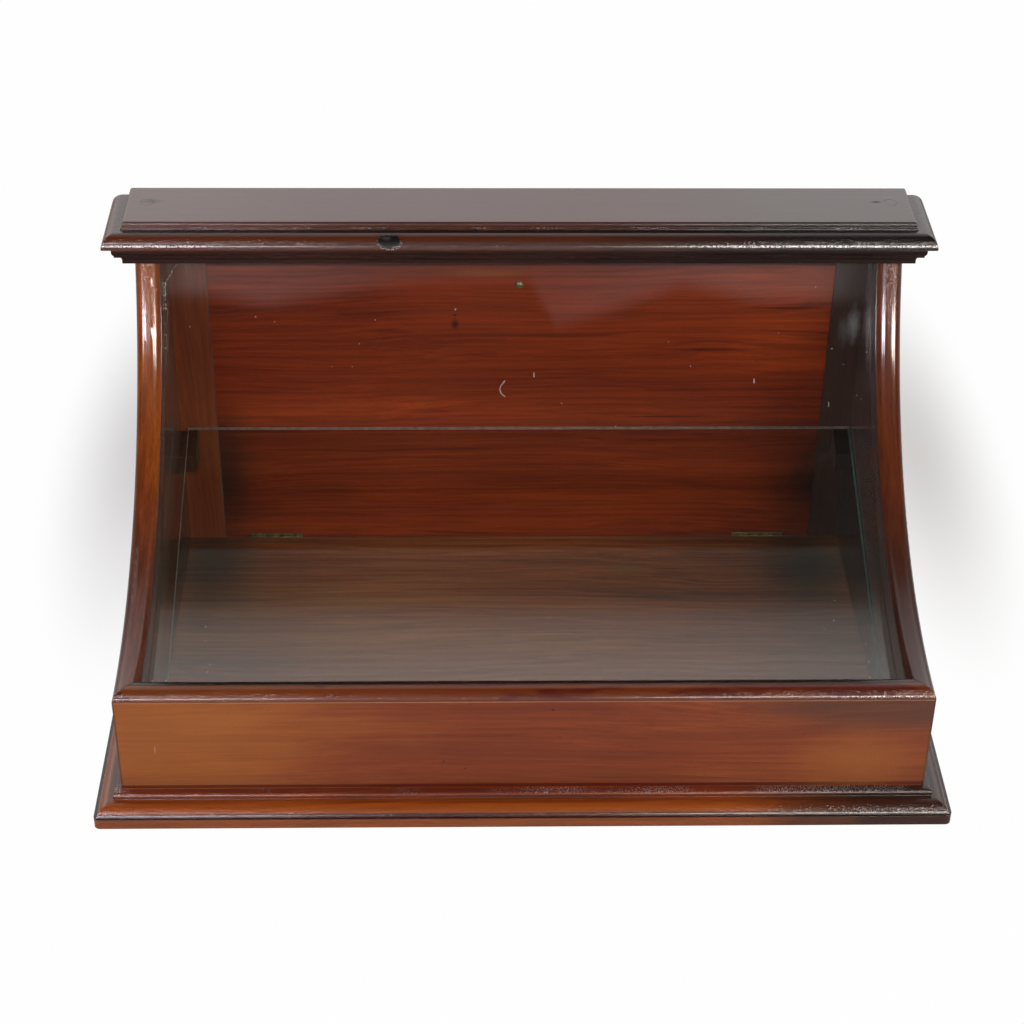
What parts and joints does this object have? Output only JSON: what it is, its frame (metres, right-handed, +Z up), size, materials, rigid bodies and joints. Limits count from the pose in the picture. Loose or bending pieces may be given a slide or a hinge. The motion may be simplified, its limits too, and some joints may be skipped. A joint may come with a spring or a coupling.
{
  "type": "countertop display case",
  "caption": "Shop-counter display case in stained hardwood with a swept bent-glass front, moulded plinth and cap, an inclined glass shelf and a drop-down back door on brass hinges.",
  "frame": {"origin": "on the counter, in the middle of the carcass between the front board's outer face and the back", "axes": "+X to the viewer's right along the front, +Y from front to back, +Z up"},
  "size_m": [0.5572, 0.3275, 0.298],
  "materials": {
    "wood": "reddish brown stain under worn glossy varnish",
    "glass": "clear, polished",
    "brass": "dulled, tarnished",
    "steel": "bare, dull"
  },
  "bodies": {
    "case": {"left_side": "wood", "right_side": "wood", "front_board": "wood", "floor_board": "wood", "back_stile_left": "wood", "back_stile_right": "wood", "back_top_rail": "wood", "back_bottom_rail": "wood", "front_top_rail": "wood", "cap_board": "wood", "cap_plugs": "wood", "bed_mould_front": "wood", "bed_mould_left": "wood", "bed_mould_right": "wood", "plinth_front": "wood", "plinth_left": "wood", "plinth_right": "wood", "shelf_cleat_left": "wood", "shelf_cleat_right": "wood", "curved_glass": "glass", "glass_shelf": "glass", "hinge_frame_leaf_left": "brass", "hinge_frame_leaf_right": "brass", "hinge_pin_left": "brass", "hinge_pin_right": "brass", "hinge_frame_screws": "brass", "turn_button_screw": "brass", "cap_screws": "steel"},
    "door": {"rear_door": "wood", "hinge_door_leaf_left": "brass", "hinge_door_leaf_right": "brass", "hinge_door_screws": "brass", "door_knob": "wood", "knob_screw": "brass"},
    "button": {"turn_button": "wood"}
  },
  "joints": [
    {"name": "door_hinge", "type": "hinge", "parent": "case", "child": "door", "pos_m": [0.002, 0.1512, 0.01165], "axis": [-1, 0, 0], "range_deg": [0, 90]},
    {"name": "button_turn", "type": "hinge", "parent": "case", "child": "button", "pos_m": [0.0006, 0.1518, 0.256], "axis": [0, 1, 0], "continuous": true}
  ]
}
